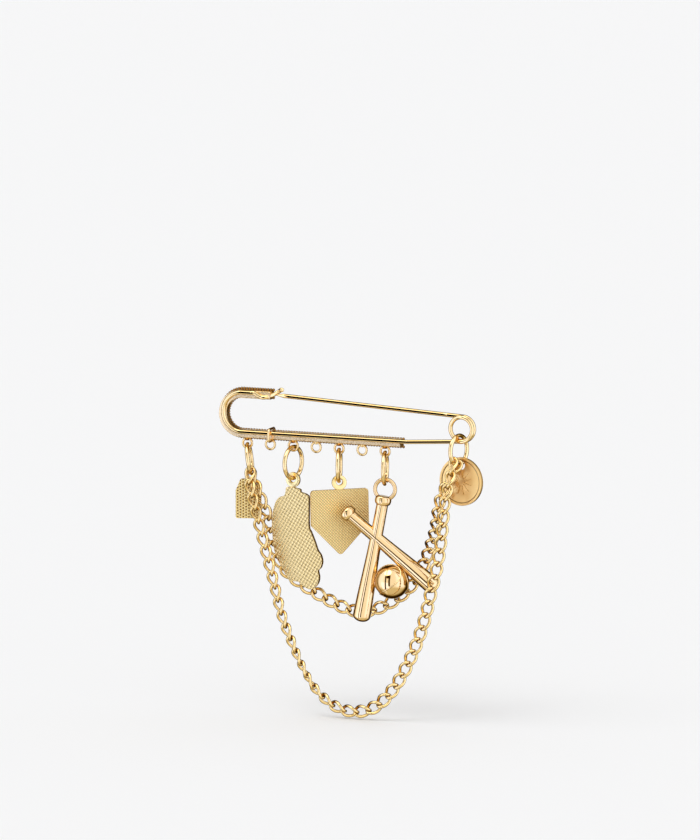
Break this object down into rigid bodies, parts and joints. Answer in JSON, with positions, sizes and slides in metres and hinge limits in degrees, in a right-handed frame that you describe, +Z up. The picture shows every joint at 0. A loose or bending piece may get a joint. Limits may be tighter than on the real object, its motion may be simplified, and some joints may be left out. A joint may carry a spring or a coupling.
{
  "type": "safety pin brooch",
  "caption": "Gold-plated safety pin brooch that hangs upright, with jump rings, baseball charms, a disc, a dimpled tag and slung curb chains.",
  "frame": {"origin": "on the needle's axis, midway along the pin, where the cloth is pinned on", "axes": "+X along the pin towards its spring coil, +Z up as it is worn, -Y towards the wearer"},
  "size_m": [0.0714, 0.0128, 0.0817],
  "materials": {
    "pin_frame": "polished",
    "needle": "polished",
    "bar_ring": "polished",
    "chain_ring_left": "polished",
    "silhouette_ring": "polished",
    "plate_ring": "polished",
    "bats_ring": "polished",
    "chain_ring_right": "polished",
    "dimpled_charm": "satin",
    "silhouette_charm": "satin",
    "home_plate_charm": "satin",
    "crossed_bats_charm": "polished",
    "disc_charm": "polished",
    "outer_chain": "polished",
    "inner_chain": "polished"
  },
  "bodies": {
    "pin": {"pin_frame": "pin_frame", "bar_ring": "bar_ring", "chain_ring_left": "chain_ring_left", "silhouette_ring": "silhouette_ring", "plate_ring": "plate_ring", "bats_ring": "bats_ring", "chain_ring_right": "chain_ring_right", "dimpled_charm": "dimpled_charm", "silhouette_charm": "silhouette_charm", "home_plate_charm": "home_plate_charm", "crossed_bats_charm": "crossed_bats_charm", "disc_charm": "disc_charm", "outer_chain": "outer_chain", "inner_chain": "inner_chain"},
    "needle": {"needle": "needle"}
  },
  "joints": [
    {"name": "needle_hinge", "type": "hinge", "parent": "pin", "child": "needle", "pos_m": [0.02681, 0, -0.00138], "axis": [0, 0.5, 0.866], "range_deg": [0, 24]}
  ]
}
